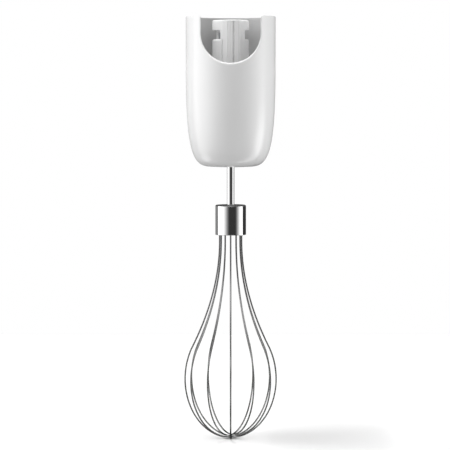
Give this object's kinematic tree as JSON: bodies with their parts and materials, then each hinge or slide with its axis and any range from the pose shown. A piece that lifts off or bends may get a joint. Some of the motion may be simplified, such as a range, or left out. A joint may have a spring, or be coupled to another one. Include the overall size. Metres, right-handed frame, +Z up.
{
  "type": "hand blender whisk attachment",
  "caption": "Balloon whisk attachment for a hand blender: a white coupling with a scooped rim, notched tower and planetary reduction, a pull-out steel shaft and a wire balloon.",
  "frame": {"origin": "on the axis, in the plane of the coupling's rim, where the motor unit seats", "axes": "+Z up the axis towards the motor unit, so that the attachment hangs below the origin; -Y out of the scoop in the rim"},
  "size_m": [0.0578, 0.0578, 0.2627],
  "materials": {
    "white_gloss": "smooth gloss moulding",
    "white_satin": "satin moulding",
    "grey_nylon": "glass-filled nylon",
    "natural_acetal": "natural acetal",
    "black_rubber": "smooth",
    "bronze": "sintered bronze",
    "steel": "bright steel",
    "chrome": "polished stainless steel",
    "wire_steel": "drawn stainless wire, darker than the ferrule"
  },
  "bodies": {
    "housing": {"outer_shell": "white_gloss", "coupling_tower": "white_satin", "gear_case": "grey_nylon", "case_gasket": "black_rubber", "ring_gear": "natural_acetal", "case_screw_1": "steel", "case_screw_2": "steel", "case_screw_3": "steel", "input_bush": "bronze", "output_bush": "bronze", "shaft_seal": "black_rubber"},
    "input_drive": {"drive_coupling": "grey_nylon", "sun_pinion": "steel", "input_clip": "steel"},
    "carrier": {"planet_carrier": "natural_acetal", "carrier_cap": "natural_acetal", "planet_pin_1": "steel", "planet_pin_2": "steel", "planet_pin_3": "steel", "thrust_washer": "steel", "output_clip": "steel"},
    "planet_1": {"planet_gear_1": "natural_acetal"},
    "planet_2": {"planet_gear_2": "natural_acetal"},
    "planet_3": {"planet_gear_3": "natural_acetal"},
    "whisk": {"whisk_shaft": "chrome", "shaft_retainer": "steel", "ferrule": "chrome", "wire_holder": "grey_nylon", "wire_loop_1": "wire_steel", "wire_loop_2": "wire_steel", "wire_loop_3": "wire_steel", "wire_loop_4": "wire_steel", "wire_loop_5": "wire_steel", "wire_loop_6": "wire_steel"}
  },
  "joints": [
    {"name": "carrier_spin", "type": "hinge", "parent": "housing", "child": "carrier", "pos_m": [0, 0, -0.06], "axis": [0, 0, 1], "continuous": true},
    {"name": "input_spin", "type": "hinge", "parent": "housing", "child": "input_drive", "pos_m": [0, 0, -0.03], "axis": [0, 0, 1], "continuous": true},
    {"name": "planet_spin_1", "type": "hinge", "parent": "carrier", "child": "planet_1", "pos_m": [0.0075, 0, -0.054], "axis": [0, 0, 1], "continuous": true},
    {"name": "planet_spin_2", "type": "hinge", "parent": "carrier", "child": "planet_2", "pos_m": [-0.00375, 0.00649, -0.054], "axis": [0, 0, 1], "continuous": true},
    {"name": "planet_spin_3", "type": "hinge", "parent": "carrier", "child": "planet_3", "pos_m": [-0.00375, -0.00649, -0.054], "axis": [0, 0, 1], "continuous": true},
    {"name": "whisk_release", "type": "slide", "parent": "carrier", "child": "whisk", "axis": [0, 0, -1], "range_m": [0, 0.034]}
  ],
  "couplings": [
    {"joint": "input_spin", "follows": "carrier_spin", "ratio": 5},
    {"joint": "planet_spin_1", "follows": "carrier_spin", "ratio": -2.6667},
    {"joint": "planet_spin_2", "follows": "carrier_spin", "ratio": -2.6667},
    {"joint": "planet_spin_3", "follows": "carrier_spin", "ratio": -2.6667}
  ]
}
